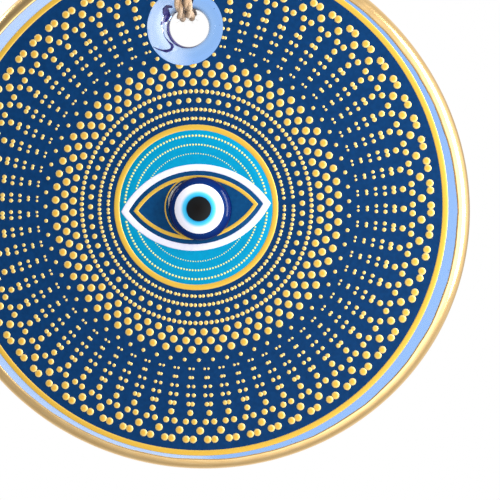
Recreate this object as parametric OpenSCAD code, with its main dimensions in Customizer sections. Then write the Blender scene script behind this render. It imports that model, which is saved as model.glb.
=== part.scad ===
// Evil eye wall ornament: a printed glass disc with a glass eye bead, hung on doubled jute twine.
// Millimetres, +Z up. The printed face looks along -Y.
// The origin is the middle of the nail or hook that the twine loop hangs on.

/* [Glass disc] */
// Diameter of the glass disc
disc_d = 152; // [150:1:155]
// Thickness of the glass disc
disc_t = 8; // [7.6:0.1:8]
// Radius of the fire-polished outer edge, front and back
edge_r = 3.4; // [2:0.1:3.4]
// Thickness of the gold lustre over the edge
lustre_t = 0.15; // [0.1:0.01:0.2]
// Radius at which the gold lustre starts on the front face
lustre_inner_r = 72.2; // [71.5:0.1:72.8]
// Radius at which the gold lustre ends on the rounded back edge
lustre_back_r = 74.2; // [73.9:0.1:74.5]

/* [Hanging hole] */
// Diameter of the hole at its narrowest
hole_d = 11; // [11:0.1:12]
// Height of the hole above the middle of the disc
hole_up = 50.4; // [50:0.1:51]
// Radius of the fire-polished lip of the hole
lip_r = 3.6; // [3.6:0.1:3.8]
// Diameter of the clear window that the print leaves round the hole
window_d = 21.4; // [20:0.1:23]

/* [Print] */
// Thickness of each printed coat of enamel
coat_t = 0.1; // [0.08:0.01:0.12]
// Height of the raised dots
dot_h = 0.2; // [0.12:0.01:0.25]
// Radius of the navy ground
ground_r = 68.8; // [67.8:0.1:69.2]
// Outer radius of the gold border line
border_r = 70.4; // [69.6:0.1:71]
// Number of dots, or pairs of dots, in a ring
sectors = 67; // [40:1:67]
// How far the rings of dots are turned from the eye's axis, in degrees
dots_turn = -0.9; // [-2:0.1:2]

/* [Roundel and eye] */
// Outer radius of the gold ring round the roundel
roundel_ring_r = 23.2; // [22.8:0.1:23.5]
// Radius of the turquoise roundel
roundel_r = 21.6; // [21.4:0.1:22]
// Half the length of the pale almond, tip to middle
almond_half_l = 21.2; // [20:0.1:21.3]
// Half the height of the pale almond
almond_half_h = 12.1; // [11.8:0.1:12.5]
// Width of the pale almond line
almond_line_w = 1.9; // [1.5:0.1:2]
// Half the length of the gold almond line
eyelid_half_l = 17.6; // [16.8:0.1:17.8]
// Half the height of the gold almond line
eyelid_half_h = 9; // [8.8:0.1:9.2]
// Width of the gold almond line
eyelid_line_w = 1.05; // [0.8:0.05:1.2]
// Outer radius of the gold line round the iris
iris_ring_r = 8.8; // [8.5:0.1:9]
// Width of the gold line round the iris
iris_ring_w = 0.4; // [0.3:0.05:0.6]

/* [Eye bead] */
// Diameter of the glass bead
bead_d = 17.7; // [17:0.1:18]
// Height of the bead's dome
bead_h = 4.6; // [4:0.1:5]
// How far the bead sits to the right of the middle
bead_x = 1.5; // [0:0.1:1.6]
// How far the bead sits above the middle
bead_z = -0.4; // [-0.5:0.1:0.5]
// Diameter of the white layer
bead_white_d = 13.8; // [13:0.1:14.5]
// Diameter of the light blue layer
bead_blue_d = 9.8; // [9:0.1:10.5]
// Diameter of the black pupil
bead_pupil_d = 7; // [6.5:0.1:7.5]

/* [Twine] */
// Diameter of one strand of jute twine
twine_d = 2.5; // [2.2:0.1:2.5]
// Distance between the middles of two strands that run side by side
strand_gap = 2.6; // [2.6:0.1:2.8]
// Diameter of the overhand knot
knot_d = 13; // [12:0.5:13]
// Height of the knot's middle, below the nail
knot_z = -60; // [-60:0.1:-59.9]
// Length of each cut tail, from the middle of the knot
tail_l = 17; // [14:0.5:20]

/* [Hidden] */
$fn = 96;
eps = 0.01;
dot_fn = 32;

disc_z = -156;
half_t = disc_t / 2;
hole_r = hole_d / 2;
window_r = window_d / 2;
step_deg = 360 / sectors;

// Heights in front of the disc's middle plane
ground_y = half_t;
roundel_y = ground_y + coat_t;
eye_y = roundel_y + coat_t;
eyelid_y = eye_y + coat_t;
bead_y = eyelid_y + coat_t;

// The bead: widest at its waist, narrower at its foot, and the floors of the white, light blue
// and black layers
bead_waist_h = 1.2;
bead_foot_in = 0.6;
bead_floors = [2.0, 2.6, 3.1];

// Each ring of dots: diameter, distance between a pair (0 is a single dot), half step (0 or 1)
inner_first_r = 24.9;
inner_pitch = 2.52;
inner_rings = [
    [0.95, 0.95, 1],
    [1.05, 1.20, 1],
    [1.50, 0.00, 0],
    [1.20, 1.52, 1],
    [2.05, 0.00, 1],
    [2.15, 0.00, 0],
    [2.10, 0.00, 1]
];
outer_first_r = 42.9;
outer_pitch = 2.5;
outer_rings = [
    [1.10, 0.00, 0],
    [0.75, 1.07, 1],
    [0.90, 0.67, 1],
    [1.00, 1.50, 1],
    [1.15, 1.70, 1],
    [1.30, 1.10, 1],
    [1.70, 0.00, 1],
    [1.70, 2.40, 1],
    [2.20, 0.00, 0],
    [2.10, 2.00, 1]
];
// Each fine ring on the turquoise: radius, diameter of a dot
fine_rings = [[20.1, 0.65], [17.6, 0.55], [15.1, 0.35]];

// Route of one strand of the drop, [y, z]: down the front, through the hole and up the back
drop_half = [
    [-2.0, -66.5], [-3.0, -69.5], [-4.6, -73], [-5.7, -76.5], [-5.7, -86], [-5.7, -96],
    [-5.4, -98.6], [-4.2, -100.6], [-2.4, -102]
];
drop_route = concat(drop_half, [[0, -102.4]], mirrored(drop_half));

// Route of one strand of the loop, [x, z]: up from the knot, over the nail and down again
loop_half = [
    [-2.2, -53.7], [-2.6, -45], [-3.3, -36], [-4.1, -27], [-4.8, -18], [-5.4, -9], [-5.7, 0],
    [-4.9, 2.9], [-2.9, 4.9]
];
loop_route = concat(loop_half, [[0, 5.7]], mirrored(loop_half));

inner_names = [for (i = [1:len(inner_rings)]) str("inner_dot_ring_", i)];
outer_names = [for (i = [1:len(outer_rings)]) str("outer_dot_ring_", i)];
fine_names = [for (i = [1:len(fine_rings)]) str("fine_dot_ring_", i)];

// ---------------------------------------------------------------- helpers

// The second half of a route that is symmetric about its middle
function mirrored(half) =
    [for (i = [len(half) - 1:-1:0]) [-half[i].x, half[i].y]];

// Points of an elliptical arc from angle a0 to a1
function arc(cx, cy, rx, ry, a0, a1, n) =
    [for (i = [0:n]) let (a = a0 + (a1 - a0) * i / n) [cx + rx * cos(a), cy + ry * sin(a)]];

// Children are drawn flat: x to the right, y up and z towards the viewer
module on_disc() {
    translate([0, 0, disc_z]) rotate([90, 0, 0]) children();
}

module ring(outer_r, inner_r, height) {
    linear_extrude(height) difference() {
        circle(outer_r);
        circle(inner_r);
    }
}

// A pointed almond bounded by two circular arcs
module almond(half_l, half_h, inset = 0) {
    big_r = (half_l * half_l + half_h * half_h) / (2 * half_h);
    intersection_for (side = [-1, 1])
        translate([0, side * (big_r - half_h)]) circle(big_r - inset, $fn = 180);
}

// One ring of raised dots. A pair has its two dots on either side of the ring's spoke.
module dot_ring(ring_r, dot_d, pair_gap, half_step) {
    shift = pair_gap == 0 ? [0] : [-pair_gap / 2, pair_gap / 2];
    for (i = [0:sectors - 1], s = shift) {
        angle = dots_turn + (i + half_step / 2) * step_deg + s / ring_r * 180 / PI;
        at = ring_r * [cos(angle), sin(angle)];
        if (norm(at - [0, hole_up]) > window_r + dot_d / 2)
            translate(at) cylinder(d = dot_d, h = dot_h, $fn = dot_fn);
    }
}

// One fine ring on the turquoise, left out where the almond covers it
module fine_dot_ring(ring_r, dot_d) {
    lid_r = (pow(almond_half_l, 2) + pow(almond_half_h, 2)) / (2 * almond_half_h);
    for (i = [0:2 * sectors - 1]) {
        angle = dots_turn + (i + 0.5) * step_deg / 2;
        at = ring_r * [cos(angle), sin(angle)];
        if (norm([at.x, abs(at.y) + lid_r - almond_half_h]) > lid_r + dot_d / 2 + eps)
            translate(at) cylinder(d = dot_d, h = dot_h / 2, $fn = dot_fn);
    }
}

// A round tube along a route, with eight sides and one ring at each point
module tube(points, diameter) {
    n = len(points);
    sides = 8;
    ends = n - 1;
    rings = [for (i = [0:ends])
        let (t = points[min(i + 1, ends)] - points[max(i - 1, 0)],
             dir = t / norm(t),
             side = norm(cross(dir, [1, 1, 0])) > 0.1 ? [1, 1, 0] : [1, 0, 1],
             u = cross(dir, side) / norm(cross(dir, side)),
             v = cross(dir, u))
        [for (k = [0:sides - 1])
            points[i] + diameter / 2 * (cos(k * 360 / sides) * u + sin(k * 360 / sides) * v)]];
    flat = [for (r = rings, p = r) p];
    walls = [for (i = [0:ends - 1], k = [0:sides - 1])
        let (a = i * sides + k, b = i * sides + (k + 1) % sides)
        [a, b, b + sides, a + sides]];
    caps = [[for (k = [sides - 1:-1:0]) k], [for (k = [0:sides - 1]) ends * sides + k]];
    polyhedron(points = flat, faces = concat(walls, caps), convexity = 10);
}

// ---------------------------------------------------------------- glass disc

// Outline of the disc's edge, from the front face round to the back face
function edge_points(grow) =
    let (r = edge_r + grow, cx = disc_d / 2 - edge_r, cz = half_t - edge_r)
    concat(arc(cx, cz, r, r, 90, 0, 12), arc(cx, -cz, r, r, 0, -90, 12));

module glass_disc() {
    color("powderblue", 0.8) on_disc() difference() {
        rotate_extrude() polygon(concat([[0, half_t]], edge_points(0), [[0, -half_t]]));
        translate([0, hole_up, 0]) hole_cutter();
    }
}

// The hole with its rounded lips: narrowest in the middle of the glass
module hole_cutter() {
    past = half_t + 1;
    mouth_r = hole_r + lip_r;
    neck = half_t - lip_r;
    rotate_extrude() polygon(concat(
        [[0, past], [mouth_r, past]],
        arc(mouth_r, neck, lip_r, lip_r, 90, 180, 10),
        arc(mouth_r, -neck, lip_r, lip_r, 180, 270, 10),
        [[mouth_r, -past], [0, -past]]
    ));
}

// Whether the gold lustre covers a point of the edge's outline
function lustred(p) = p.x > (p.y > 0 ? lustre_inner_r : lustre_back_r);

module gold_lustre_edge() {
    inside = edge_points(0);
    outside = edge_points(lustre_t);
    color("goldenrod") on_disc() rotate_extrude() polygon(concat(
        [[lustre_inner_r, half_t], [lustre_inner_r, half_t + lustre_t]],
        [for (p = outside) if (lustred(p)) p],
        [for (i = [len(inside) - 1:-1:0]) if (lustred(inside[i])) inside[i]]
    ));
}

// ---------------------------------------------------------------- print

module navy_ground() {
    color("midnightblue") on_disc() translate([0, 0, ground_y]) linear_extrude(coat_t)
        difference() {
            circle(ground_r);
            translate([0, hole_up]) circle(window_r);
        }
}

module gold_border() {
    color("gold") on_disc() translate([0, 0, ground_y]) ring(border_r, ground_r, 1.5 * coat_t);
}

module turquoise_roundel() {
    color("deepskyblue") on_disc() translate([0, 0, roundel_y])
        linear_extrude(coat_t) circle(roundel_r);
}

module roundel_gold_ring() {
    color("gold") on_disc() translate([0, 0, roundel_y])
        ring(roundel_ring_r, roundel_r, 1.5 * coat_t);
}

module pale_almond() {
    color("lavender") on_disc() translate([0, 0, eye_y]) linear_extrude(coat_t)
        difference() {
            almond(almond_half_l, almond_half_h);
            almond(almond_half_l, almond_half_h, almond_line_w);
        }
}

module navy_almond() {
    color("midnightblue") on_disc() translate([0, 0, eye_y]) linear_extrude(coat_t)
        almond(almond_half_l, almond_half_h, almond_line_w);
}

module eyelid_shape() {
    difference() {
        almond(eyelid_half_l, eyelid_half_h);
        almond(eyelid_half_l, eyelid_half_h, eyelid_line_w);
    }
}

module iris_shape() {
    difference() {
        circle(iris_ring_r);
        circle(iris_ring_r - iris_ring_w);
        eyelid_outside();
    }
}

// Everything outside the inner edge of the gold eyelid line
module eyelid_outside() {
    difference() {
        circle(roundel_r);
        almond(eyelid_half_l, eyelid_half_h, eyelid_line_w);
    }
}

module gold_eyelid_line() {
    color("gold") on_disc() translate([0, 0, eyelid_y]) linear_extrude(coat_t) eyelid_shape();
}

module gold_iris_ring() {
    color("gold") on_disc() translate([0, 0, eyelid_y]) linear_extrude(coat_t) iris_shape();
}

module gold_dots(height) {
    color("gold") on_disc() translate([0, 0, height]) children();
}

// ---------------------------------------------------------------- eye bead

module on_bead() {
    on_disc() translate([bead_x, bead_z, bead_y]) children();
}

// Whole bead: flat back, widest a little above it, and a low dome
module bead_dome() {
    r = bead_d / 2;
    foot_r = r - bead_foot_in;
    rotate_extrude() polygon(concat(
        [[0, 0], [foot_r, 0]],
        arc(foot_r, bead_waist_h, bead_foot_in, bead_waist_h, -90, 0, 4),
        arc(0, bead_waist_h, r, bead_h - bead_waist_h, 5, 90, 16)
    ));
}

// What a layer of the bead is cut to: a cylinder from its floor up past the dome
module bead_core(diameter, floor_h) {
    translate([0, 0, floor_h]) cylinder(d = diameter, h = bead_h);
}

module bead_cobalt() {
    color("navy") on_bead() difference() {
        bead_dome();
        bead_core(bead_white_d, bead_floors[0]);
    }
}

module bead_layer(diameter, floor_h, inner_d, inner_floor_h) {
    on_bead() difference() {
        intersection() {
            bead_dome();
            bead_core(diameter, floor_h);
        }
        bead_core(inner_d, inner_floor_h);
    }
}

module bead_white() {
    color("white") bead_layer(bead_white_d, bead_floors[0], bead_blue_d, bead_floors[1]);
}

module bead_light_blue() {
    color("skyblue") bead_layer(bead_blue_d, bead_floors[1], bead_pupil_d, bead_floors[2]);
}

module bead_pupil() {
    color("black") on_bead() intersection() {
        bead_dome();
        bead_core(bead_pupil_d, bead_floors[2]);
    }
}

// Clear glue: a pad under the bead, inside the gold lines
module bead_glue() {
    pad_r = bead_white_d / 2;
    color("white", 0.4) on_disc() translate([bead_x / 2, bead_z, eyelid_y])
        cylinder(r = pad_r, h = coat_t);
}

// ---------------------------------------------------------------- twine

module drop_strand(side) {
    color("burlywood") tube([for (p = drop_route) [side * strand_gap / 2, p.x, p.y]], twine_d);
}

module loop_strand(side) {
    color("tan") tube([for (p = loop_route) [p.x, side * strand_gap / 2, p.y]], twine_d);
}

// The overhand knot that ties both strands, with its two cut tails
module twine_knot() {
    tail_angles = [20, 200];
    tail_rise = 25;
    color("peru") translate([0, 0, knot_z]) {
        sphere(d = knot_d);
        for (a = tail_angles)
            rotate([0, 90 - tail_rise, a]) cylinder(d = twine_d, h = tail_l, $fn = 24);
    }
}

// ---------------------------------------------------------------- nodes

glass_disc();
gold_lustre_edge();
navy_ground();
gold_border();
turquoise_roundel();
roundel_gold_ring();
pale_almond();
navy_almond();
gold_eyelid_line();
gold_iris_ring();
bead_glue();
bead_cobalt();
bead_white();
bead_light_blue();
bead_pupil();
drop_strand(-1);  // drop_strand_left
drop_strand(1);  // drop_strand_right
twine_knot();
loop_strand(-1);  // loop_strand_front
loop_strand(1);  // loop_strand_back

for (i = [0:len(inner_rings) - 1])
    gold_dots(roundel_y)
            dot_ring(inner_first_r + i * inner_pitch,
                     inner_rings[i][0], inner_rings[i][1], inner_rings[i][2]);

for (i = [0:len(outer_rings) - 1])
    gold_dots(roundel_y)
            dot_ring(outer_first_r + i * outer_pitch,
                     outer_rings[i][0], outer_rings[i][1], outer_rings[i][2]);

for (i = [0:len(fine_rings) - 1])
    gold_dots(eye_y) fine_dot_ring(fine_rings[i][0], fine_rings[i][1]);
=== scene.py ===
import math
import random

import bmesh
import bpy
from mathutils import Matrix, Vector, noise


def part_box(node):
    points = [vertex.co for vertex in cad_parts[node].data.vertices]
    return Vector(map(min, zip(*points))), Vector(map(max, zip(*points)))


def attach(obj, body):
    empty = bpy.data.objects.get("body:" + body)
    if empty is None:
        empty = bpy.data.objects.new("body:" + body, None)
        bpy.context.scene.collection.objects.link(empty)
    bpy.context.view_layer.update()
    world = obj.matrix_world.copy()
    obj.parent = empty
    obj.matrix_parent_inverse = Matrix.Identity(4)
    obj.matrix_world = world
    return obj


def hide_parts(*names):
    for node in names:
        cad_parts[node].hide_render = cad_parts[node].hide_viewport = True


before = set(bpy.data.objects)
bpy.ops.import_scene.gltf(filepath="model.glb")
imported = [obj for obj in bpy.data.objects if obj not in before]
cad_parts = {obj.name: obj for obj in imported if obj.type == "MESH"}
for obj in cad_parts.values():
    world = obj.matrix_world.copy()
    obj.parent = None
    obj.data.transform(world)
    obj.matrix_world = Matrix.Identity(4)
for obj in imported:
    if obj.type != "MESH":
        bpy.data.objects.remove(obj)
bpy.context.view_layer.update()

# The disc's own measures come from the frame. Patterns on the disc are drawn in millimetres:
# x to the right, y up and h towards the viewer, all from the middle of the disc.
MM = 0.001
TURN = 2 * math.pi
disc_low, disc_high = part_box("glass_disc")
DISC_R = (disc_high.x - disc_low.x) / 2 / MM
HALF_T = (disc_high.y - disc_low.y) / 2 / MM
DISC_Y = (disc_high.y + disc_low.y) / 2
DISC_Z = (disc_high.z + disc_low.z) / 2

scene = bpy.context.scene
rng = random.Random(11)


# ---- camera

def add_camera():
    """The camera stands a little to the right of the disc's middle and looks slightly down."""
    position = Vector((0.0593, -0.4203, DISC_Z + 0.0028))
    aim = Vector((0.0146, -0.0041, DISC_Z - 0.0127))
    roll = math.radians(-3.3)
    data = bpy.data.cameras.new("camera")
    data.lens = 108
    data.sensor_width = 36
    camera = bpy.data.objects.new("camera", data)
    camera.location = position
    look = (aim - position).to_track_quat("-Z", "Y").to_matrix()
    camera.rotation_euler = (look @ Matrix.Rotation(roll, 3, "Z")).to_euler()
    scene.collection.objects.link(camera)
    scene.camera = camera


add_camera()


# ---- mesh helpers

def on_disc(x, y, h):
    """A point of the disc's pattern, in mm, as a point of the row frame, in metres."""
    return (x * MM, DISC_Y - h * MM, DISC_Z + y * MM)


def make_piece(name, points, faces, material, body, stands_for=(), sharp=40):
    """A mesh piece that rides on a body, with outward normals and sharp edges kept crisp."""
    mesh = bpy.data.meshes.new(name)
    mesh.from_pydata(points, [], faces)
    work = bmesh.new()
    work.from_mesh(mesh)
    bmesh.ops.recalc_face_normals(work, faces=work.faces)
    work.to_mesh(mesh)
    work.free()
    mesh.polygons.foreach_set("use_smooth", [True] * len(mesh.polygons))
    mesh.set_sharp_from_angle(angle=math.radians(sharp))
    mesh.materials.append(material)
    piece = bpy.data.objects.new(name, mesh)
    scene.collection.objects.link(piece)
    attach(piece, body)
    if stands_for:
        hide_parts(*stands_for)
    return piece


def grid_faces(rows, columns, close_rows=False, close_columns=True, first=0):
    """Quads of a grid of points that runs row by row."""
    faces = []
    for i in range(rows if close_rows else rows - 1):
        for j in range(columns if close_columns else columns - 1):
            i2, j2 = (i + 1) % rows, (j + 1) % columns
            corners = ((i, j), (i, j2), (i2, j2), (i2, j))
            faces.append([first + a * columns + b for a, b in corners])
    return faces


def ring_piece(name, rings, material, stands_for, sharp=40):
    """A piece of the disc from rings of (x, y, h), the last of which meets the first."""
    points = [on_disc(*place) for ring in rings for place in ring]
    faces = grid_faces(len(rings), len(rings[0]), close_rows=True)
    return make_piece(name, points, faces, material, "disc", stands_for, sharp)


def add_values(piece, name, values):
    """A number for each point of the mesh, which its material can read."""
    attribute = piece.data.attributes.new(name, "FLOAT", "POINT")
    attribute.data.foreach_set("value", values)


def add_vectors(piece, name, vectors):
    """A vector for each point of the mesh, which its material can read."""
    attribute = piece.data.attributes.new(name, "FLOAT_VECTOR", "POINT")
    attribute.data.foreach_set("vector", [x for v in vectors for x in v])


def polar(r, a, middle=(0, 0)):
    """The point at a distance and an angle from a middle."""
    return (middle[0] + r * math.cos(a), middle[1] + r * math.sin(a))


def circle_points(count, radius):
    """Points round a circle. The radius is a number or a function of the angle."""
    angles = [TURN * i / count for i in range(count)]
    return [polar(radius(a) if callable(radius) else radius, a) for a in angles]


def wandering(mean, *terms):
    """A radius that wanders with the angle. Each term is (cosine, sine) of 1, 2, 3 turns."""
    def radius(a):
        parts = [c * math.cos(k * a) + s * math.sin(k * a) for k, (c, s) in enumerate(terms, 1)]
        return mean + sum(parts)
    return radius


def ring_between(first, second, t, h):
    """The ring at height h that is the share t of the way from one outline to another."""
    return [(p[0] + (q[0] - p[0]) * t, p[1] + (q[1] - p[1]) * t, h)
            for p, q in zip(first, second)]


def fan(first, count, middle):
    """Triangles between a ring of points and a point in its middle."""
    return [[first + j, first + (j + 1) % count, middle] for j in range(count)]


# ---- material helpers

def srgb(red, green, blue):
    """A screen colour, 0 to 255, as linear values."""
    def linear(c):
        c /= 255
        return c / 12.92 if c <= 0.04045 else ((c + 0.055) / 1.055) ** 2.4
    return (linear(red), linear(green), linear(blue), 1)


# Where a mix node has its two inputs and its result, for numbers and for colours
NUMBERS = ("FLOAT", 2, 3, 0)
COLOURS = ("RGBA", 6, 7, 2)

BLACK = (0, 0, 0, 1)
WHITE = (1, 1, 1, 1)


class Shader:
    """A Principled material and short ways to add nodes to it."""

    def __init__(self, name, **values):
        self.material = bpy.data.materials.new(name)
        self.material.use_nodes = True
        self.tree = self.material.node_tree
        self.shader = self.tree.nodes["Principled BSDF"]
        for socket, value in values.items():
            self.shader.inputs[socket.replace("_", " ")].default_value = value

    def feed(self, socket, value):
        """Joins a socket to another node's output, or sets it to a plain value."""
        if isinstance(value, bpy.types.NodeSocket):
            self.tree.links.new(value, socket)
        else:
            socket.default_value = value

    def node(self, kind, **settings):
        made = self.tree.nodes.new(kind)
        for key, value in settings.items():
            spaced = key.replace("_", " ")
            if spaced in made.inputs:
                self.feed(made.inputs[spaced], value)
            else:
                setattr(made, key, value)
        return made

    def link(self, output, socket_name):
        self.tree.links.new(output, self.shader.inputs[socket_name])

    def place(self):
        return self.node("ShaderNodeTexCoord").outputs["Object"]

    def attribute(self, name, output="Fac"):
        return self.node("ShaderNodeAttribute", attribute_name=name).outputs[output]

    def noise(self, scale, detail=3.0, roughness=0.5, vector=None):
        found = self.node("ShaderNodeTexNoise", Scale=scale, Detail=detail, Roughness=roughness,
                          Vector=vector or self.place())
        return found.outputs["Fac"]

    def ramp(self, value, stops, interpolation="LINEAR"):
        """A colour ramp. Stops are (position, colour)."""
        made = self.node("ShaderNodeValToRGB", Fac=value)
        made.color_ramp.interpolation = interpolation
        elements = made.color_ramp.elements
        while len(elements) < len(stops):
            elements.new(0.5)
        for element, (position, colour) in zip(elements, stops):
            element.position = position
            element.color = colour
        return made.outputs["Color"]

    def spread(self, value, low, high):
        """A value from 0 to 1 as a number from low to high."""
        made = self.node("ShaderNodeMapRange", Value=value, To_Min=low, To_Max=high)
        return made.outputs["Result"]

    def mix(self, sockets, share, first, second):
        """The first number or colour where the share is 0, and the second where it is 1."""
        kind, first_socket, second_socket, result = sockets
        made = self.node("ShaderNodeMix", data_type=kind)
        self.feed(made.inputs[0], share)
        self.feed(made.inputs[first_socket], first)
        self.feed(made.inputs[second_socket], second)
        return made.outputs[result]

    def bump(self, height, strength, distance):
        """Small bumps in the surface. The distance is in metres."""
        made = self.node("ShaderNodeBump", Strength=strength, Distance=distance, Height=height)
        self.link(made.outputs["Normal"], "Normal")


# ---- materials

# The colour that thick glass lets through, and how fast it gets there
GLASS_COLOUR = (0.077, 0.52, 0.974, 1)
GLASS_DENSITY = 172.0


def enamel(name, colour, darker):
    """A printed coat: faint mottling, slight orange peel and a soft gloss."""
    s = Shader(name, Specular_IOR_Level=0.06)
    mottle = s.noise(900, detail=5)
    s.link(s.ramp(mottle, [(0.25, darker), (0.7, colour)]), "Base Color")
    s.link(s.spread(s.noise(400), low=0.25, high=0.4), "Roughness")
    s.bump(s.noise(2200, detail=2), strength=0.25, distance=0.04 * MM)
    return s.material


def raised_gold(name, middle, edge, metallic=0.35):
    """Raised gold enamel, deeper in the middle of a dot or line and paler towards its edge, where
    the paler colour is a painted highlight on the sloping rim.
    """
    s = Shader(name, Metallic=metallic, Specular_IOR_Level=0.3)
    # Paler edge colour: painted highlight on the rim of each dot and line
    s.link(s.ramp(s.attribute("from_edge"), [(0.0, edge), (0.55, middle)]), "Base Color")
    s.link(s.spread(s.noise(1500), low=0.26, high=0.44), "Roughness")
    s.bump(s.noise(3000, detail=2), strength=0.3, distance=0.03 * MM)
    return s.material


def aqua_glass():
    """Pale aqua glass, clear where the mesh's painted sheen is 0 and milky where it is 1; the
    milkiness is painted sheen in place of reflected light.
    """
    s = Shader("aqua_glass", Base_Color=WHITE, Roughness=0.01, IOR=1.5, Transmission_Weight=1.0)
    volume = s.node("ShaderNodeVolumeAbsorption", Color=GLASS_COLOUR, Density=GLASS_DENSITY)
    s.feed(s.tree.nodes["Material Output"].inputs["Volume"], volume.outputs["Volume"])
    # The milky share paints the sheen that makes the bare glass on the left paler
    clearness = s.ramp(s.attribute("painted_sheen"), [(0.0, WHITE), (1.0, BLACK)])
    s.link(clearness, "Transmission Weight")
    s.bump(s.noise(130, detail=2), strength=0.12, distance=0.4 * MM)
    return s.material


def lustre():
    """Brushed-on liquid gold: faint streaks that run round the edge."""
    s = Shader("gold_lustre", Metallic=1.0)
    streak = s.noise(1.0, detail=6, roughness=0.65, vector=s.attribute("streak", "Vector"))
    golds = [(0.3, srgb(238, 196, 132)), (0.5, srgb(247, 208, 145)),
             (0.75, srgb(252, 220, 164))]
    s.link(s.ramp(streak, golds), "Base Color")
    s.link(s.spread(streak, low=0.3, high=0.12), "Roughness")
    s.bump(streak, strength=0.16, distance=0.12 * MM)
    return s.material


def hole_painted_shade():
    """Painted shade round the hole: an almost black coat with violet patches, in place of the dark
    refraction of the navy print.
    """
    s = Shader("hole_painted_shade", Roughness=0.12, Specular_IOR_Level=0.3)
    blues = [(0.3, srgb(16, 16, 66)), (0.55, srgb(42, 40, 100)), (0.75, srgb(92, 82, 140))]
    s.link(s.ramp(s.noise(1500), blues), "Base Color")
    return s.material


def bead_glass(name, stops):
    """Glossy glass whose colour depends on how far it is from the bead's axis."""
    s = Shader(name, Roughness=0.04, Specular_IOR_Level=0.1)
    s.link(s.ramp(s.attribute("from_axis"), stops, "EASE"), "Base Color")
    s.bump(s.noise(500, detail=2), strength=0.05, distance=0.2 * MM)
    return s.material


def clear_glue():
    """Set glue with a pale, cloudy colour, which is a painted sparkle; it also sparkles where it
    has wrinkled.
    """
    # The pale base colour and low transmission are painted sparkle
    s = Shader("clear_glue", Base_Color=srgb(238, 236, 232), IOR=1.45, Transmission_Weight=0.3)
    s.link(s.spread(s.noise(2600), low=0.04, high=0.4), "Roughness")
    s.bump(s.noise(2400, detail=4), strength=1.0, distance=0.6 * MM)
    return s.material


def jute():
    """Jute fibres: pale and brown strands that lie along the twist."""
    s = Shader("jute", Roughness=0.85, Sheen_Weight=0.25, Sheen_Roughness=0.5)
    fibre = s.noise(1.0, detail=6, roughness=0.7, vector=s.attribute("fibre", "Vector"))
    pale = s.ramp(fibre, [(0.25, srgb(152, 116, 84)), (0.45, srgb(208, 178, 146)),
                          (0.7, srgb(238, 218, 194))])
    brown = s.ramp(fibre, [(0.3, srgb(120, 84, 56)), (0.65, srgb(214, 180, 142))])
    brown_share = s.ramp(s.noise(260, detail=3), [(0.42, BLACK), (0.62, WHITE)])
    s.link(s.mix(COLOURS, brown_share, pale, brown), "Base Color")
    s.bump(fibre, strength=0.9, distance=0.5 * MM)
    return s.material


glass_material = aqua_glass()
lustre_material = lustre()
navy_material = enamel("navy_enamel", srgb(7, 52, 98), srgb(4, 44, 85))
eye_navy_material = enamel("eye_navy_enamel", srgb(8, 66, 112), srgb(4, 54, 98))
turquoise_material = enamel("turquoise_enamel", srgb(0, 139, 180), srgb(0, 129, 171))
pale_material = enamel("pale_enamel", srgb(218, 218, 236), srgb(206, 206, 228))
# The second colour of each gold is its paler edge, a painted rim highlight
gold_line_material = raised_gold("gold_line", srgb(216, 172, 62), srgb(220, 186, 92))
gold_dot_material = raised_gold("gold_dots", srgb(222, 170, 62), srgb(228, 208, 142))
fine_dot_material = raised_gold("fine_gold_dots", srgb(232, 204, 106), srgb(206, 218, 150),
                                metallic=0.1)
# Painted shade round the hole's lip, used for the dark lines and for the neck streak
hole_shade_material = hole_painted_shade()
glue_material = clear_glue()
jute_material = jute()


# ---- glass disc

# The hanging hole's middle and radius, and the radius of the window in the print round it
HOLE = (0, 50.4)
HOLE_R = 5.5
WINDOW_R = 10.7
# How round the hole's lip and the disc's edge are
LIP_R = 3.6
EDGE_R = 3.4
# Mean radius where the lustre starts and where the navy ground ends
LUSTRE_START_R = 72.2
GROUND_R = 68.8
# Inside this radius the print covers the front
COVERED_R = 68
# A point higher than this is on the front face
FACE_H = HALF_T - 0.5
# Points round the disc's outline
GLASS_SIDES = 420

glass_edge = wandering(DISC_R, (-0.8, 0.9), (0.7, -0.88), (0.1, -0.25))
lustre_start = wandering(LUSTRE_START_R, (-0.4, 0.4), (0.6, -0.7), (0, -0.25))
ground_edge = wandering(GROUND_R, (-0.15, 0.5), (-0.1, -0.1))
# How far the hole's edge is from a true circle
hole_edge = wandering(0, (0.6, 0.2), (0.12, -0.06), (0.05, 0.05))


def from_hole(x, y):
    return math.hypot(x - HOLE[0], y - HOLE[1])


def round_hole(rim, radius, edge=hole_edge):
    """Points round the hole, each on the line from the hole's middle to a point of the rim."""
    angles = [math.atan2(y - HOLE[1], x - HOLE[0]) for x, y in rim]
    return [polar(radius + edge(a), a, HOLE) for a in angles]


def edge_point(angle, grow=0.0):
    """(distance in from the rim, height) on the edge: 90 degrees is the front, -90 the back."""
    r = EDGE_R + grow
    straight = HALF_T - EDGE_R
    side = 1 if angle >= 0 else -1
    return EDGE_R - r * math.cos(angle), side * straight + r * math.sin(angle)


def edge_profile(steps):
    """The edge's points from the front to the back."""
    front = [edge_point(math.pi / 2 * (1 - i / steps)) for i in range(steps + 1)]
    return front + [(inset, -h) for inset, h in reversed(front)]


# A fold left in the hot glass where the hole was pierced, from the hole's middle, in mm
FOLD = ((-3.6, 6.4), (-5.0, 4.4), (-6.0, 1.6), (-5.2, -1.6), (-3.4, -4.4), (-2.6, -6.2),
        (-5.2, -6.8), (-9.6, -4.6))
FOLD_DEPTH = 0.28
FOLD_WIDTH = 0.42
# How far from the window's edge the fold fades out
FOLD_FADE = 0.8


def unevenness(x, y, h):
    """How far the hand-cast glass rises or falls at a point, in mm."""
    wide = noise.noise((x / 9, y / 9, h / 9))
    narrow = noise.noise((x / 3, y / 3, h / 3))
    return 0.05 * wide + 0.03 * narrow


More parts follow.
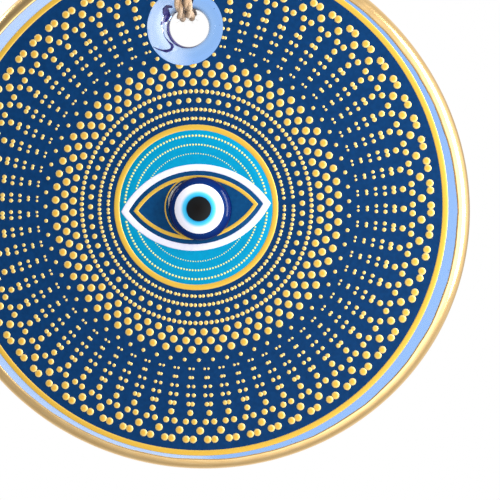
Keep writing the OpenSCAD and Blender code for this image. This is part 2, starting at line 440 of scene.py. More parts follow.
def fold_dip(x, y):
    """How deep the fold by the hole is at a point of the front."""
    p = Vector((x - HOLE[0], y - HOLE[1], 0))
    if p.length > WINDOW_R:
        return 0
    nearest = math.inf
    for start, end in zip(FOLD, FOLD[1:]):
        a, b = Vector((*start, 0)), Vector((*end, 0))
        t = min(1, max(0, (p - a).dot(b - a) / (b - a).length_squared))
        nearest = min(nearest, (p - a.lerp(b, t)).length)
    waver = 1 + 0.8 * noise.noise((x / 1.5, y / 1.5, 4.0))
    edge = min(1, (WINDOW_R - p.length) / FOLD_FADE)
    return FOLD_DEPTH * waver * edge * math.exp(-(nearest / FOLD_WIDTH) ** 2)


# Painted sheen: bare glass is milky towards the left, in place of the reflected light that makes
# that side paler: how milky, up to which x, how gradually, and above which h
PAINTED_SHEEN = 0.22
PAINTED_SHEEN_END = 3.0
PAINTED_SHEEN_WIDTH = 8.0
PAINTED_SHEEN_LOWEST = 1


def smooth_step(t):
    t = max(0.0, min(1.0, t))
    return t * t * (3 - 2 * t)


def glass_painted_sheen(x, y, h):
    """How much painted sheen the surface has at a point: milkiness in place of reflected light.
    Only bare glass on the front gets it.
    """
    bare = from_hole(x, y) < WINDOW_R or math.hypot(x, y) > COVERED_R
    if h <= PAINTED_SHEEN_LOWEST or not bare:
        return 0.0
    return PAINTED_SHEEN * smooth_step((PAINTED_SHEEN_END - x) / PAINTED_SHEEN_WIDTH)


def glass_lift(x, y, h):
    """How far the surface is from its even shape at a point. It stays flat under the print."""
    if from_hole(x, y) < WINDOW_R and h > 0:
        return min(0, unevenness(x, y, h)) - fold_dip(x, y)
    covered = math.hypot(x, y) < COVERED_R and h > FACE_H
    return 0 if covered else unevenness(x, y, h)


def add_glass():
    """The disc: its front, its edge, its back and the lip of its hole, as rings of points."""
    flat_rings = 22
    crowding = 1.8
    edge_steps = 10
    lip_steps = 20
    rim = circle_points(GLASS_SIDES, lambda a: glass_edge(a) - EDGE_R)
    mouth = round_hole(rim, HOLE_R + LIP_R)
    shares = [(k / flat_rings) ** crowding for k in range(1, flat_rings)]
    rings = [ring_between(mouth, rim, t, HALF_T) for t in shares]
    for inset, h in edge_profile(edge_steps):
        ring = circle_points(GLASS_SIDES, lambda a: glass_edge(a) - inset)
        rings.append([(x, y, h) for x, y in ring])
    rings += [ring_between(mouth, rim, t, -HALF_T) for t in reversed(shares)]
    for k in range(2 * lip_steps + 1):
        a = math.pi * k / (2 * lip_steps)
        side = (k > lip_steps) - (k < lip_steps)
        h = side * (HALF_T - LIP_R) - LIP_R * math.cos(a)
        ring = round_hole(rim, HOLE_R + LIP_R - LIP_R * math.sin(a))
        rings.append([(x, y, h) for x, y in ring])
    lifted = [[(x, y, h + glass_lift(x, y, h)) for x, y, h in ring] for ring in rings]
    piece = ring_piece("glass_disc_cast", lifted, glass_material, ["glass_disc"],
                       sharp=180)
    add_values(piece, "painted_sheen", [glass_painted_sheen(*place) for ring in rings for place in ring])


# The lustre's outside, inside and first ring, measured from the surface of the glass, and how
# far in from the rim it ends on the back
LUSTRE_SKIN = 0.12
LUSTRE_INSIDE = -0.05
LUSTRE_START_SUNK = -0.02
LUSTRE_BACK = 1.8
# How finely the brush's streaks vary round the edge and across it
STREAK_ROUND = 14
STREAK_ACROSS = 0.48


def ragged(a, layer):
    """How far the brushed end of the lustre wanders at an angle, in mm."""
    wide = noise.noise((*polar(9, a), layer))
    narrow = noise.noise((*polar(60, a), layer))
    return 0.22 * wide + 0.07 * narrow


def edge_angle(inset):
    """The angle on the edge's rounding at a distance in from the rim, or a little past it."""
    return math.acos(max(-0.2, min(1, (EDGE_R - inset) / EDGE_R)))


def lustre_ring(t, grow):
    """The lustre's points at the share t of its way from the front to the back."""
    ring = []
    for i in range(GLASS_SIDES):
        a = TURN * i / GLASS_SIDES
        first = edge_angle(glass_edge(a) - lustre_start(a) - ragged(a, 0.0))
        last = 0.3 * ragged(a, 5.0) - edge_angle(LUSTRE_BACK)
        inset, h = edge_point(first + (last - first) * t, grow)
        x, y = polar(glass_edge(a) - inset, a)
        ring.append((x, y, h + unevenness(x, y, h)))
    return ring


def add_lustre():
    """A thin gold skin over the edge, brushed on from the front to the turn of the back."""
    steps = 30
    rings, across = [], []
    for k in range(steps + 1):
        rings.append(lustre_ring(k / steps, LUSTRE_SKIN if k else LUSTRE_START_SUNK))
        across.append(k)
    for k in range(steps, -1, -1):
        rings.append(lustre_ring(k / steps, LUSTRE_INSIDE))
        across.append(0)
    streaks = []
    for ring, k in zip(rings, across):
        for x, y, _ in ring:
            streaks.append((*polar(STREAK_ROUND, math.atan2(y, x)), STREAK_ACROSS * k))
    piece = ring_piece("gold_lustre_skin", rings, lustre_material, ["gold_lustre_edge"],
                       sharp=180)
    add_vectors(piece, "streak", streaks)


# Painted shade round the hole, in place of the dark refraction of the print and the twine's shadow:
# lines of points, each x and y from the hole's middle, and width, in mm
HOLE_SHADE_LINES = (
    ((-3.3, 5.9, 0.5), (-4.8, 5.9, 0.9), (-5.2, 4.9, 1.8), (-5.1, 3.7, 1.9), (-5.5, 2.5, 1.2),
     (-6.5, 1.6, 0.7), (-6.8, 1.1, 0.3)),
    ((-6.1, 0.4, 0.08), (-6.2, -0.8, 0.12), (-5.9, -2.2, 0.16), (-5.0, -3.6, 0.3),
     (-4.0, -4.9, 0.7), (-4.2, -5.8, 0.8), (-5.3, -6.3, 0.8), (-6.6, -6.1, 0.45),
     (-8.0, -5.6, 0.35), (-9.3, -4.9, 0.1)),
)
# Half of a painted shade line's height over the glass
HOLE_SHADE_RISE = 0.07
# A painted dark streak on the neck, in place of the dark refraction of the print there: its first
# and last angle in degrees, its width seen from in front, and its inside and outside, measured from
# the surface of the glass
NECK_STREAK = (150, 322)
NECK_STREAK_W = 0.62
NECK_STREAK_SKINS = (-0.025, 0.06)


def add_painted_neck_shade():
    """Painted shade on the hole's lip: a thin dark coat in place of the dark refraction of the navy
    print.
    """
    across, count = 8, 90
    inside, outside = NECK_STREAK_SKINS
    rings = []
    for grow, order in ((inside, range(across + 1)), (outside, range(across, -1, -1))):
        for k in order:
            ring = []
            for i in range(count + 1):
                t = i / count
                a = math.radians(NECK_STREAK[0] + (NECK_STREAK[1] - NECK_STREAK[0]) * t)
                width = 0.03 + NECK_STREAK_W * math.sin(math.pi * t) ** 0.6
                width *= 1 + 0.3 * noise.noise((t * 9, 0, 8.0))
                lean = math.asin(1 - width / LIP_R)
                turn = math.pi / 2 + (lean - math.pi / 2) * k / across
                r = HOLE_R + hole_edge(a) + LIP_R - (LIP_R - grow) * math.sin(turn)
                h = HALF_T - LIP_R + (LIP_R - grow) * math.cos(turn)
                ring.append((*polar(r, a, HOLE), h))
            rings.append(ring)
    points = [on_disc(*p) for ring in rings for p in ring]
    faces = grid_faces(len(rings), count + 1, close_rows=True, close_columns=False)
    for end in (0, count):
        faces.append([k * (count + 1) + end for k in range(len(rings))])
    # The streak's dark colour is painted refraction shade
    make_piece("painted_neck_shade", points, faces, hole_shade_material, "disc")


def lip_height(distance):
    """Height of the front of the glass at a distance from the hole's middle."""
    if distance > HOLE_R + LIP_R:
        return HALF_T
    out = (HOLE_R + LIP_R - max(distance, HOLE_R)) / LIP_R
    return HALF_T - LIP_R + LIP_R * math.sqrt(1 - out ** 2)


def add_painted_hole_shade():
    """Painted shade beside the hole: dark lines laid flat on the front of the glass, in place of
    the dark refraction of the print and the twine's shadow.
    """
    sides = 12
    points, faces = [], []
    for shade_line in HOLE_SHADE_LINES:
        route = smooth_route([(x, y, 0) for x, y, width in shade_line], 0.1)
        length = len(route) - 1
        first = len(points)
        for i, p in enumerate(route):
            at = i / length * (len(shade_line) - 1)
            k = min(int(at), len(shade_line) - 2)
            width = shade_line[k][2] + (shade_line[k + 1][2] - shade_line[k][2]) * (at - k)
            width *= 1 + 0.2 * noise.noise((p.x * 2, p.y * 2, 7.0))
            way = (route[min(i + 1, length)] - route[max(i - 1, 0)]).normalized()
            side = way.cross(Vector((0, 0, 1))).normalized()
            for j in range(sides):
                b = TURN * j / sides
                spot = p + side * (width / 2 * math.cos(b))
                distance = spot.length - hole_edge(math.atan2(spot.y, spot.x))
                h = lip_height(distance) + HOLE_SHADE_RISE * (1 + math.sin(b))
                points.append(on_disc(HOLE[0] + spot.x, HOLE[1] + spot.y, h))
        faces += grid_faces(length + 1, sides, first=first)
        for start in (first, first + length * sides):
            faces.append([start + j for j in range(sides)])
    make_piece("hole_painted_shades", points, faces, hole_shade_material, "disc")


# Seeds in the clear band and round the hole: how many, from which radius and how wide a ring
BAND_SEEDS = (74, 70.6, 2.2)
HOLE_SEEDS = (16, 9.3, 1.3)


def add_seeds():
    """Tiny bubbles and specks caught in the clear band and round the hole."""
    material = Shader("glass_seed", Base_Color=srgb(40, 62, 110), Roughness=0.2).material
    points, faces = [], []
    ball = bmesh.new()
    bmesh.ops.create_icosphere(ball, subdivisions=2, radius=1)
    ball_points = [v.co.copy() for v in ball.verts]
    ball_faces = [[v.index for v in f.verts] for f in ball.faces]
    ball.free()
    for middle, (count, start, width) in (((0, 0), BAND_SEEDS), (HOLE, HOLE_SEEDS)):
        for _ in range(count):
            a = rng.random() * TURN
            x, y = polar(start + rng.random() * width, a, middle)
            h = HALF_T - 0.35 - rng.random() * 5
            size = 0.03 + 0.05 * rng.random() ** 2
            stretch = 1 + 2.5 * rng.random() ** 3
            first = len(points)
            for p in ball_points:
                points.append(on_disc(x + p.x * size, y + p.y * size * stretch, h + p.z * size))
            faces += [[first + k for k in f] for f in ball_faces]
    make_piece("glass_seeds", points, faces, material, "disc")


# ---- print

# How far a coat reaches into what it lies on, and the height of the top of each coat
SUNK = 0.05
GROUND_H = HALF_T + 0.1
ROUNDEL_H = GROUND_H + 0.1
EYE_H = ROUNDEL_H + 0.08
LINE_H = EYE_H + 0.1
# How a raised line's height goes from its outer edge to its inner edge
LINE_PROFILE = ((0, 0), (0.03, 0.55), (0.1, 0.85), (0.25, 1), (0.5, 1.04), (0.75, 1),
                (0.9, 0.85), (0.97, 0.55), (1, 0))


def add_line(name, outer, inner, low, high, material, stands_for):
    """A raised line between two closed outlines with the same number of points."""
    rings, edge = [], []
    for t, rise in LINE_PROFILE:
        rings.append(ring_between(outer, inner, t, low + (high - low) * rise))
        edge.append(2 * min(t, 1 - t))
    for t in (1, 0):
        rings.append(ring_between(outer, inner, t, low - SUNK))
        edge.append(0)
    piece = ring_piece(name, rings, material, stands_for, sharp=60)
    add_values(piece, "from_edge", [e for e in edge for _ in outer])


def add_coat(name, outline, low, high, material, stands_for):
    """A flat coat inside a closed outline, with a slightly rounded edge."""
    count = len(outline)
    flat_rings = 6
    edge = [(1, low - SUNK), (1, low + 0.6 * (high - low)), (0.997, high)]
    flat = [(1 - k / flat_rings, high) for k in range(1, flat_rings)]
    rings = [[(x * t, y * t, h) for x, y in outline] for t, h in edge + flat]
    points = [on_disc(*p) for ring in rings for p in ring]
    faces = grid_faces(len(rings), count)
    middle, last = len(points), (len(rings) - 1) * count
    points += [on_disc(0, 0, high), on_disc(0, 0, low - SUNK)]
    faces += fan(last, count, middle) + fan(0, count, middle + 1)
    make_piece(name, points, faces, material, "disc", stands_for)


def add_ground():
    """The navy ground, with the round window that it leaves round the hole."""
    steps = 12
    outer = circle_points(GLASS_SIDES, ground_edge)
    window = round_hole(outer, WINDOW_R, edge=wandering(0))
    rings = [ring_between(window, outer, k / steps, GROUND_H) for k in range(steps + 1)]
    rings += [ring_between(window, outer, t, HALF_T - SUNK) for t in (1, 0)]
    ring_piece("navy_ground_print", rings, navy_material, ["navy_ground"])


def almond(half_l, half_h, inset=0.0, steps=60):
    """A closed outline of two circular arcs that meet in a point at each side."""
    big_r = (half_l ** 2 + half_h ** 2) / (2 * half_h)
    drop = big_r - half_h
    r = big_r - inset
    open_angle = math.acos(drop / r)
    arc = [(r * math.sin(a), r * math.cos(a) - drop)
           for a in (open_angle * (2 * k / steps - 1) for k in range(steps))]
    return arc + [(-x, -y) for x, y in arc]


# Half length and half height of the almond and of the eyelid line, radii, and widths of lines
ALMOND = (21.2, 12.1)
ALMOND_LINE = 1.9
EYELID = (17.6, 9.0)
EYELID_LINE = 1.05
ROUNDEL_R = 21.6
ROUNDEL_RING_R = 23.2
IRIS_R = 8.8
IRIS_LINE = 0.4
BORDER_LINE = 1.6
# How far a coat runs on under the line at its edge
UNDER_LINE = 0.1


def add_print():
    """All printed coats and lines, from the glass upwards."""
    add_ground()
    outline = circle_points(360, lambda a: ground_edge(a) + BORDER_LINE)
    inside = circle_points(360, lambda a: ground_edge(a) - 0.02)
    add_line("gold_border_line", outline, inside, HALF_T, GROUND_H + 0.06, gold_line_material,
             ["gold_border"])
    add_coat("turquoise_roundel_print", circle_points(240, ROUNDEL_R + UNDER_LINE), GROUND_H,
             ROUNDEL_H, turquoise_material, ["turquoise_roundel"])
    add_line("roundel_gold_line", circle_points(240, ROUNDEL_RING_R), circle_points(240, ROUNDEL_R),
             GROUND_H, ROUNDEL_H + 0.08, gold_line_material, ["roundel_gold_ring"])
    add_coat("navy_almond_print", almond(*ALMOND, ALMOND_LINE - UNDER_LINE), ROUNDEL_H, EYE_H,
             eye_navy_material, ["navy_almond"])
    add_line("pale_almond_line", almond(*ALMOND), almond(*ALMOND, ALMOND_LINE), ROUNDEL_H,
             EYE_H + 0.05, pale_material, ["pale_almond"])
    add_line("gold_eyelid_line_print", almond(*EYELID), almond(*EYELID, EYELID_LINE), EYE_H, LINE_H,
             gold_line_material, ["gold_eyelid_line"])
    add_line("gold_iris_line", circle_points(160, IRIS_R), circle_points(160, IRIS_R - IRIS_LINE),
             EYE_H, LINE_H, gold_line_material, ["gold_iris_ring"])


# ---- dots

SECTORS = 67
STEP = TURN / SECTORS
DOTS_TURN = math.radians(-0.9)
# Each ring of dots: diameter, distance between a pair (0 is a single dot), half step (0 or 1).
# The rings start at a radius and are one pitch apart.
INNER_FIRST_R, INNER_PITCH = 24.9, 2.52
INNER_RINGS = ((0.95, 0.95, 1), (1.05, 1.20, 1), (1.50, 0, 0), (1.20, 1.52, 1),
               (2.05, 0, 1), (2.15, 0, 0), (2.10, 0, 1))
OUTER_FIRST_R, OUTER_PITCH = 42.9, 2.5
OUTER_RINGS = ((1.10, 0, 0), (0.75, 1.07, 1), (0.90, 0.67, 1), (1.00, 1.50, 1),
               (1.15, 1.70, 1), (1.30, 1.10, 1), (1.70, 0, 1), (1.70, 2.40, 1),
               (2.20, 0, 0), (2.10, 2.00, 1))
# Each fine ring on the turquoise: radius, diameter of a dot
FINE_RINGS = ((20.1, 0.65), (17.6, 0.55), (15.1, 0.35))
FINE_DOT_H = 0.12
# A dot's section: share of its radius, share of its height
DOME = ((1, 0), (0.94, 0.42), (0.8, 0.72), (0.58, 0.91), (0.3, 0.99))
# How far a dot's middle may be inside the window and has to be off the almond, in diameters
INSIDE_WINDOW = 0.3
OFF_ALMOND = 0.2


def dot_height(diameter):
    return 0.12 + 0.06 * diameter


def add_dots(name, places, diameter, low, height, material, stands_for, keep_out=0.0):
    """Domed dots. What would lie in the window round the hole is pushed back to its edge."""
    sides = 24
    depth = min(1, diameter / 2)
    points, faces, edge = [], [], []
    for x, y in places:
        r = diameter / 2 * (1 + 0.05 * (rng.random() - 0.5))
        rise = height * (1 + 0.15 * (rng.random() - 0.5))
        first = len(points)
        rings = [(1, -SUNK)] + [(s, rise * h) for s, h in DOME]
        for share, h in rings:
            for j in range(sides):
                a = TURN * j / sides
                px, py = polar(r * share, a, (x, y))
                away = from_hole(px, py)
                if away < keep_out:
                    px = HOLE[0] + (px - HOLE[0]) * keep_out / away
                    py = HOLE[1] + (py - HOLE[1]) * keep_out / away
                points.append(on_disc(px, py, low + h))
                edge.append((1 - share) * depth)
        faces += grid_faces(len(rings), sides, first=first)
        top = len(points)
        points += [on_disc(x, y, low + rise), on_disc(x, y, low - SUNK)]
        edge += [depth, 0]
        faces += fan(top - sides, sides, top) + fan(first, sides, top + 1)
    piece = make_piece(name, points, faces, material, "disc", stands_for, sharp=75)
    add_values(piece, "from_edge", edge)


def ring_places(radius, dot, gap, half_step, skip_first=False):
    """The middles of a ring's dots, without those that the window takes away."""
    places = []
    for i in range(SECTORS):
        for s in ((0,) if gap == 0 else (-gap / 2, gap / 2)):
            a = DOTS_TURN + (i + half_step / 2) * STEP + s / radius
            x, y = polar(radius, a)
            if skip_first and i == 0 and s < 0:
                continue
            if from_hole(x, y) > WINDOW_R - INSIDE_WINDOW * dot:
                places.append((x, y))
    return places


def fine_places(radius, dot):
    """The middles of a fine ring's dots, without those that the almond covers."""
    half_l, half_h = ALMOND
    lid_r = (half_l ** 2 + half_h ** 2) / (2 * half_h)
    places = []
    for i in range(2 * SECTORS):
        a = DOTS_TURN + (i + 0.5) * STEP / 2
        x, y = polar(radius, a)
        if math.hypot(x, abs(y) + lid_r - half_h) > lid_r + OFF_ALMOND * dot:
            places.append((x, y))
    return places


def add_all_dots():
    bands = (("inner", INNER_FIRST_R, INNER_PITCH, INNER_RINGS),
             ("outer", OUTER_FIRST_R, OUTER_PITCH, OUTER_RINGS))
    for band, first_r, pitch, rings in bands:
        for i, (dot, gap, half_step) in enumerate(rings):
            skip = band == "inner" and i < 2
            places = ring_places(first_r + i * pitch, dot, gap, half_step, skip)
            add_dots(f"{band}_dots_{i + 1}", places, dot, GROUND_H, dot_height(dot),
                     gold_dot_material, [f"{band}_dot_ring_{i + 1}"], WINDOW_R)
    for i, (radius, dot) in enumerate(FINE_RINGS):
        add_dots(f"fine_dots_{i + 1}", fine_places(radius, dot), dot, ROUNDEL_H, FINE_DOT_H,
                 fine_dot_material, [f"fine_dot_ring_{i + 1}"])


# ---- eye bead

BEAD_AT = (1.5, -0.4)
BEAD_R = 8.85
BEAD_H = 4.6
# The bead is widest at its waist, and its side curves in from there to its foot
BEAD_WAIST = 1.2
BEAD_TUCK = 0.6
BEAD_FOOT_R = BEAD_R - BEAD_TUCK
WHITE_R, BLUE_R, PUPIL_R = 6.9, 4.9, 3.5
WHITE_FLOOR, BLUE_FLOOR, PUPIL_FLOOR = 2.0, 2.6, 3.1


def dome_height(r):
    """Height of the bead's dome at a distance from its axis."""
    return BEAD_WAIST + (BEAD_H - BEAD_WAIST) * math.sqrt(max(0.0, 1 - (r / BEAD_R) ** 2))


def add_bead_part(name, outer_r, inner_r, floor, material, stands_for):
    """One glass of the bead: the dome from inner_r to outer_r, closed down to its floor."""
    steps = 14
    side_steps = 6
    profile = []
    if outer_r == BEAD_R:
        profile += [(inner_r, 0), (BEAD_FOOT_R - 0.3, 0)]
        for k in range(side_steps):
            a = math.pi / 2 * (k / side_steps - 1)
            profile.append((BEAD_FOOT_R + BEAD_TUCK * math.cos(a),
                            BEAD_WAIST * (1 + math.sin(a))))
    else:
        profile += [(inner_r, floor), (outer_r, floor)]
    for k in range(steps + 1):
        t = k / steps
        if outer_r == BEAD_R:
            t = 1 - (1 - t) ** 1.6
        r = outer_r + (inner_r - outer_r) * t
        profile.append((r, dome_height(r)))
    count = 128
    rings = []
    for r, h in profile:
        ring = circle_points(count, max(r, 0.002))
        rings.append([(BEAD_AT[0] + x, BEAD_AT[1] + y, LINE_H + h) for x, y in ring])
    piece = ring_piece(name, rings, material, stands_for, sharp=50)
    add_values(piece, "from_axis", [r / BEAD_R for r, _ in profile for _ in range(count)])


def add_bead():
    """Four glasses melted together, with the colours that each has from the axis outwards."""
    white = srgb(226, 226, 240)
    ring_stops = [(PUPIL_R / BEAD_R, srgb(38, 150, 200)), (4.3 / BEAD_R, srgb(70, 186, 226)),
                  (5.4 / BEAD_R, white), (0.8, white)]
    cobalt_stops = [(0.78, srgb(2, 42, 102)), (0.9, srgb(0, 32, 94)), (1.0, srgb(0, 18, 70))]
    pupil_stops = [(0.0, srgb(16, 14, 14)), (0.36, srgb(20, 22, 24)), (0.4, srgb(24, 60, 84))]
    add_bead_part("bead_cobalt_glass", BEAD_R, WHITE_R, 0, bead_glass("bead_cobalt", cobalt_stops),
                  ["bead_cobalt"])
    add_bead_part("bead_white_glass", WHITE_R, BLUE_R, WHITE_FLOOR,
                  bead_glass("bead_white", ring_stops), ["bead_white"])
    add_bead_part("bead_blue_glass", BLUE_R, PUPIL_R, BLUE_FLOOR,
                  bead_glass("bead_blue", ring_stops), ["bead_light_blue"])
    add_bead_part("bead_pupil_glass", PUPIL_R, 0, PUPIL_FLOOR,
                  bead_glass("bead_pupil", pupil_stops), ["bead_pupil"])


# Most of the glue is at this angle, in degrees, where it adds this much width and height
GLUE_ANGLE = 152
GLUE_W = 1.3
GLUE_H = 0.9


def add_glue():
    """Clear glue squeezed out round the bead's foot, most of it on the left, given a pale colour
    that paints its sparkle.
    """
    count, steps = 160, 8
    inner = BEAD_FOOT_R - 0.4
    rings = [[] for _ in range(steps + 3)]
    for i in range(count):
        a = TURN * i / count
        share = max(0.0, math.cos(a - math.radians(GLUE_ANGLE))) ** 5
        width = GLUE_W * share + 0.25 * noise.noise((*polar(6, a), 1.0))
        outer = BEAD_FOOT_R + max(0.1, width)
        for k in range(steps + 1):
            t = k / steps
            r = outer + (inner - outer) * t
            wrinkle = 0.35 * noise.noise((r * 3, a * 12, 2.0)) * t * (1 - t) * 4
            rise = max(0.3 + GLUE_H * share * t + wrinkle, 0) * math.sqrt(t)
            rings[k].append((*polar(r, a, BEAD_AT), EYE_H + 0.02 + rise))
        rings[steps + 1].append((*polar(inner, a, BEAD_AT), EYE_H + 0.01))
        rings[steps + 2].append((*polar(outer, a, BEAD_AT), EYE_H + 0.01))
    ring_piece("bead_glue_bead", rings, glue_material, ["bead_glue"], sharp=180)


# ---- twine

TWINE_D = 2.5
STRAND_GAP = 2.6
# One turn of the two plies round each other takes this length, in the twine and in the knot
TWINE_PITCH = 9.5
KNOT_PITCH = 11
# The drop's strands thin out to this share over the first and last part of their length
DROP_TAPER = 0.74
TAPER_PART = 1 / 4.5
# Distance between two points of a strand's route
ROUTE_STEP = 0.3
KNOT = (0, 0, -60)
# The strands' routes, in mm, as the frame's solids have them
DROP_HALF = ((-2.0, -66.5), (-3.0, -69.5), (-4.6, -73), (-5.7, -76.5), (-5.7, -86), (-5.7, -96),
             (-5.4, -98.6), (-4.2, -100.6), (-2.4, -102))
LOOP_HALF = ((-2.2, -53.7), (-2.6, -45), (-3.3, -36), (-4.1, -27), (-4.8, -18), (-5.4, -9),
             (-5.7, 0), (-4.9, 2.9), (-2.9, 4.9))


def whole(half, middle):
    """A route whose second half mirrors the first."""
    return [*half, middle, *((-a, b) for a, b in reversed(half))]


def smooth_route(points, step):
    """A smooth curve through the points, with a new point at each step along it."""
    parts = 24
    points = [Vector(p) for p in points]
    ends = [2 * points[0] - points[1], *points, 2 * points[-1] - points[-2]]
    dense = []
    for i in range(1, len(ends) - 2):
        p0, p1, p2, p3 = ends[i - 1:i + 3]
        knots = [0.0]
        for a, b in ((p0, p1), (p1, p2), (p2, p3)):
            knots.append(knots[-1] + max((b - a).length, 1e-6) ** 0.5)
        k0, k1, k2, k3 = knots
        for j in range(parts):
            t = k1 + (k2 - k1) * j / parts
            a1 = p0.lerp(p1, (t - k0) / (k1 - k0))
            a2 = p1.lerp(p2, (t - k1) / (k2 - k1))
            a3 = p2.lerp(p3, (t - k2) / (k3 - k2))
            b1 = a1.lerp(a2, (t - k0) / (k2 - k0))
            b2 = a2.lerp(a3, (t - k1) / (k3 - k1))
            dense.append(b1.lerp(b2, (t - k1) / (k2 - k1)))
    dense.append(points[-1])
    route, left = [dense[0]], step
    for a, b in zip(dense, dense[1:]):
        length = (b - a).length
        at = left
        while at <= length:
            route.append(a.lerp(b, at / length))
            at += step
        left = at - length
    route.append(dense[-1])
    return route


def frames_along(route):
    """Pairs of directions across the route, which don't twist on the way, and its directions."""
    last = len(route) - 1
    tangents = []
    for i in range(len(route)):
        tangents.append((route[min(i + 1, last)] - route[max(i - 1, 0)]).normalized())
    side = tangents[0].orthogonal().normalized()
    found = []
    for t in tangents:
        side = (side - t * side.dot(t)).normalized()
        found.append((side, t.cross(side)))
    return found, tangents


def two_ply(angle):
    """Distance from the middle to the outline of two plies side by side, in diameters."""
    ply = 0.285
    apart = 0.215
    c, s = abs(math.cos(angle)), math.sin(angle)
    return apart * c + math.sqrt(max(0.0, ply ** 2 - (apart * s) ** 2))


def twine_mesh(route, points, faces, fibres, start_twist, seed, taper, pitch):
    """Adds a two-ply twine along a route to lists of points, faces and fibre directions."""
    sides = 30
    across, _ = frames_along(route)
    first, along = len(points), 0.0
    count = len(route)
    for i, (p, (u, v)) in enumerate(zip(route, across)):
        if i:
            along += (p - route[i - 1]).length
        twist = start_twist + TURN * along / pitch
        t = i / (count - 1)
        size = TWINE_D * (1 + 0.05 * noise.noise((along / 5, seed, 0.0)))
        size *= taper + (1 - taper) * min(1, min(t, 1 - t) / TAPER_PART)
        for j in range(sides):
            a = TURN * j / sides
            groove = noise.noise((math.cos(a) * 4, math.sin(a) * 4, along / 4 + seed))
            r = size * (two_ply(a) + 0.018 * groove)
            points.append(p + r * (math.cos(a + twist) * u + math.sin(a + twist) * v))
            fibres.append((math.cos(a) * 7, math.sin(a) * 7, along / 3.2 + 11 * seed))
    faces += grid_faces(count, sides, first=first)
    for end, p in ((0, route[0]), (count - 1, route[-1])):
        faces += fan(first + end * sides, sides, len(points))
        points.append(p)
        fibres.append((0, 0, along))


def twine_piece(name, routes, body, stands_for, taper=1.0, pitch=TWINE_PITCH):
    """One piece of twine with a strand along each route."""
    points, faces, fibres = [], [], []
    for k, route in enumerate(routes):
        twine_mesh(route, points, faces, fibres, 1.7 * k, 3.1 * k + len(name), taper, pitch)
    piece = make_piece(name, [p * MM for p in points], faces, jute_material, body, stands_for,
                       sharp=70)
    add_vectors(piece, "fibre", fibres)
    return piece


def loose_fibre(start, out, forward):
    """The points along a fibre that leaves the twine, and its direction at each of them."""
    steps = 7
    bend = Vector((rng.uniform(-1, 1), rng.uniform(-1, 1), rng.uniform(-1, 1)))
    way = (forward * rng.uniform(0.6, 1.4) + out * rng.uniform(0.25, 0.9)).normalized()
    step = rng.uniform(0.1, 0.34)
    thickness = rng.uniform(0.018, 0.035)
    p = start
    places = []
    for k in range(steps):
        places.append((p, way, thickness * (1 - 0.75 * k / (steps - 1))))
        way = (way + 0.6 * bend * rng.random() + 0.1 * out).normalized()
        p = p + way * step
    return places


def fuzz_piece(name, routes, body, per_mm):
    """Loose fibres that stand off the twine."""
    root = 0.4 * TWINE_D
    sides = 3
    points, faces, fibres = [], [], []
    for route in routes:
        across, tangents = frames_along(route)
        length = sum((b - a).length for a, b in zip(route, route[1:]))
        for _ in range(int(length * per_mm)):
            i = rng.randrange(2, len(route) - 2)
            a = rng.random() * TURN
            u, v = across[i]
            out = math.cos(a) * u + math.sin(a) * v
            forward = tangents[i] * (1 if rng.random() < 0.5 else -1)
            places = loose_fibre(route[i] + out * root, out, forward)
            first = len(points)
            for k, (p, way, radius) in enumerate(places):
                side = way.orthogonal().normalized()
                other = way.cross(side)
                for j in range(sides):
                    b = TURN * j / sides
                    points.append(p + radius * (math.cos(b) * side + math.sin(b) * other))
                    fibres.append((a * 3, b, k * 0.4))
            faces += grid_faces(len(places), sides, first=first)
            faces.append([first + 2, first + 1, first])
            last = len(points) - sides
            faces.append([last, last + 1, last + 2])
    piece = make_piece(name, [p * MM for p in points], faces, jute_material, body)
    add_vectors(piece, "fibre", fibres)
    return piece


def add_twine():
    """The two strands of the drop and of the loop, with their loose fibres."""
    # The drop's ends run on into the knot, so that they stay in it when the ornament tilts
    drop = [(-0.8, -61.5), *whole(DROP_HALF, (0, -102.4)), (0.8, -61.5)]
    loop = whole(LOOP_HALF, (0, 5.7))
    knot_low, knot_high = (0, 0, -0.0665), (0, 0, -0.0535)
    pairs = (("drop", "drop", ("left", "right"), drop, DROP_TAPER, knot_low, 0.088),
             ("loop", "hanging_loop", ("front", "back"), loop, 1.0, knot_high, 0.125))
    for kind, body, names, line, taper, exit_point, length in pairs:
        for side, name in zip((-STRAND_GAP / 2, STRAND_GAP / 2), names):
            places = [(side, a, b) if kind == "drop" else (a, side, b) for a, b in line]
            route = smooth_route(places, ROUTE_STEP)
            piece = twine_piece(f"{kind}_twine_{name}", [route], body,
                                [f"{kind}_strand_{name}"], taper)
            fuzz = fuzz_piece(f"{kind}_fuzz_{name}", [route], body, per_mm=6)


def add_knot():
    """A pretzel-shaped overhand knot of both strands, and its two cut tails."""
    size = 1.62
    height = 1.15
    apart = 1.0
    count = 260
    knot = Vector(KNOT)
    middle = []
    for i in range(count + 1):
        t = TURN * i / count
        across = math.sin(t) + 2 * math.sin(2 * t)
        through = -height * math.sin(3 * t)
        up = math.cos(t) - 2 * math.cos(2 * t)
        middle.append(knot + size * Vector((across, through, up)))
    pairs, tangents = frames_along(middle)
    routes = []
    for side in (-apart, apart):
        route = []
        for p, (u, _), t in zip(middle, pairs, tangents):
            flat = Vector((0, 1, 0)).cross(t)
            flat = flat.normalized() if flat.length > 0.2 else u
            route.append(p + flat * side)
        routes.append(route)
    tails = []
    for turn in (20, 200):
        way = Vector((*polar(1, math.radians(turn)), 0.47))
        points = [knot + way * d - Vector((0, 0, 0.018 * d * d)) for d in (3, 6, 9, 12, 15)]
        tails.append(smooth_route(points, ROUTE_STEP))
    twine_piece("overhand_knot", routes, "knot", ["twine_knot"], pitch=KNOT_PITCH)
    twine_piece("knot_tails", tails, "knot", [])
    fuzz_piece("knot_fuzz", routes + tails, "knot", per_mm=5)


# ---- stage and light

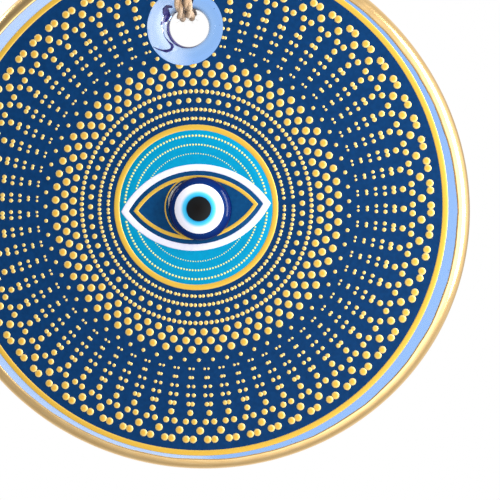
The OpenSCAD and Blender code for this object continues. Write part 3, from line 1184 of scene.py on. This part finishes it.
# The light tent's glow: azimuth (0 is the viewer's side, + to the right), elevation, both in
# degrees, half width, and what it adds to the tent's even glow
TENT_GLOW = 0.2
DARKEST_GLOW = 0.03
PANELS = ((36, 4, 24, 1.3), (14, -14, 20, 1.35), (88, 5, 31, 0.7), (-62, -14, 26, 0.15),
          (0, 80, 30, 0.5), (0, -45, 28, 0.5), (180, 0, 70, 0.9), (-50, 28, 22, -0.12),
          (142, 0, 24, -0.55), (38, -36, 22, 0.6))


def around(azimuth, elevation):
    """The direction from the disc's middle at an azimuth and elevation in degrees."""
    a, e = math.radians(azimuth), math.radians(elevation)
    return Vector((math.sin(a) * math.cos(e), -math.cos(a) * math.cos(e), math.sin(e)))


def tent_glow(direction):
    glow = TENT_GLOW
    for azimuth, elevation, width, extra in PANELS:
        off = math.degrees(direction.angle(around(azimuth, elevation))) / width
        glow += extra / (1 + off ** 4)
    return max(glow, DARKEST_GLOW)


def seen_through_glass(direction):
    """White before and behind the disc, and dark at its sides, so that glass has dark edges."""
    off = math.degrees(math.acos(min(1, abs(direction.normalized().y))))
    dark, half_width = 0.3, 44
    return dark + (1 - dark) / (1 + (off / half_width) ** 8)


def add_stage():
    """A pale floor that curves up all round into a light tent."""
    # Radius and height above the floor, in metres
    profile = [(0.001, 0), (0.9, 0), (1.7, 0.06), (2.3, 0.4), (2.6, 1.0), (2.5, 1.7), (2.0, 2.3),
               (1.2, 2.6), (0.4, 2.7), (0.001, 2.7)]
    floor_z = -0.62
    route = smooth_route([(r, 0, z) for r, z in profile], 0.08)
    count = 96
    points = [(x, y, floor_z + p.z) for p in route for x, y in circle_points(count, p.x)]
    faces = grid_faces(len(route), count)
    faces.append(list(range(count)))
    faces.append(list(range(len(points) - count, len(points))))
    mesh = bpy.data.meshes.new("studio")
    mesh.from_pydata(points, [], faces)
    mesh.polygons.foreach_set("use_smooth", [True] * len(mesh.polygons))
    studio = bpy.data.objects.new("studio", mesh)
    middle = Vector((0, 0, DISC_Z))
    add_values(studio, "glow", [tent_glow(Vector(p) - middle) for p in points])
    add_values(studio, "through", [seen_through_glass(Vector(p) - middle) for p in points])
    s = Shader("studio_white", Base_Color=BLACK, Roughness=1.0, Specular_IOR_Level=0.0,
               Emission_Color=WHITE)
    path = s.node("ShaderNodeLightPath")
    glow = s.mix(NUMBERS, path.outputs["Is Transmission Ray"], s.attribute("glow"),
                 s.attribute("through"))
    s.link(s.mix(NUMBERS, path.outputs["Is Camera Ray"], glow, 1.0), "Emission Strength")
    mesh.materials.append(s.material)
    scene.collection.objects.link(studio)


# Each softbox: azimuth, elevation, distance from the disc's middle, width, height, watts
SOFTBOXES = {"key": (66, 9, 0.36, 0.09, 0.4, 2.3),
             "strip": (-55, 17, 0.9, 0.03, 0.25, 0.1),
             "glint": (-100, 30, 0.5, 0.2, 0.2, 2.2)}


def add_lights():
    middle = Vector((0, 0, DISC_Z))
    for name, (azimuth, elevation, distance, width, height, watts) in SOFTBOXES.items():
        data = bpy.data.lights.new(name, "AREA")
        data.shape = "RECTANGLE"
        data.size = width
        data.size_y = height
        data.energy = watts
        light = bpy.data.objects.new(name, data)
        light.location = middle + around(azimuth, elevation) * distance
        light.rotation_euler = (middle - light.location).to_track_quat("-Z", "Y").to_euler()
        light.visible_camera = False
        scene.collection.objects.link(light)
    scene.view_settings.view_transform = "Standard"


# ---- the whole thing

add_twine()
add_knot()
add_glass()
add_lustre()
add_seeds()
add_painted_hole_shade()
add_painted_neck_shade()
add_print()
add_all_dots()
add_bead()
add_glue()
add_stage()
add_lights()
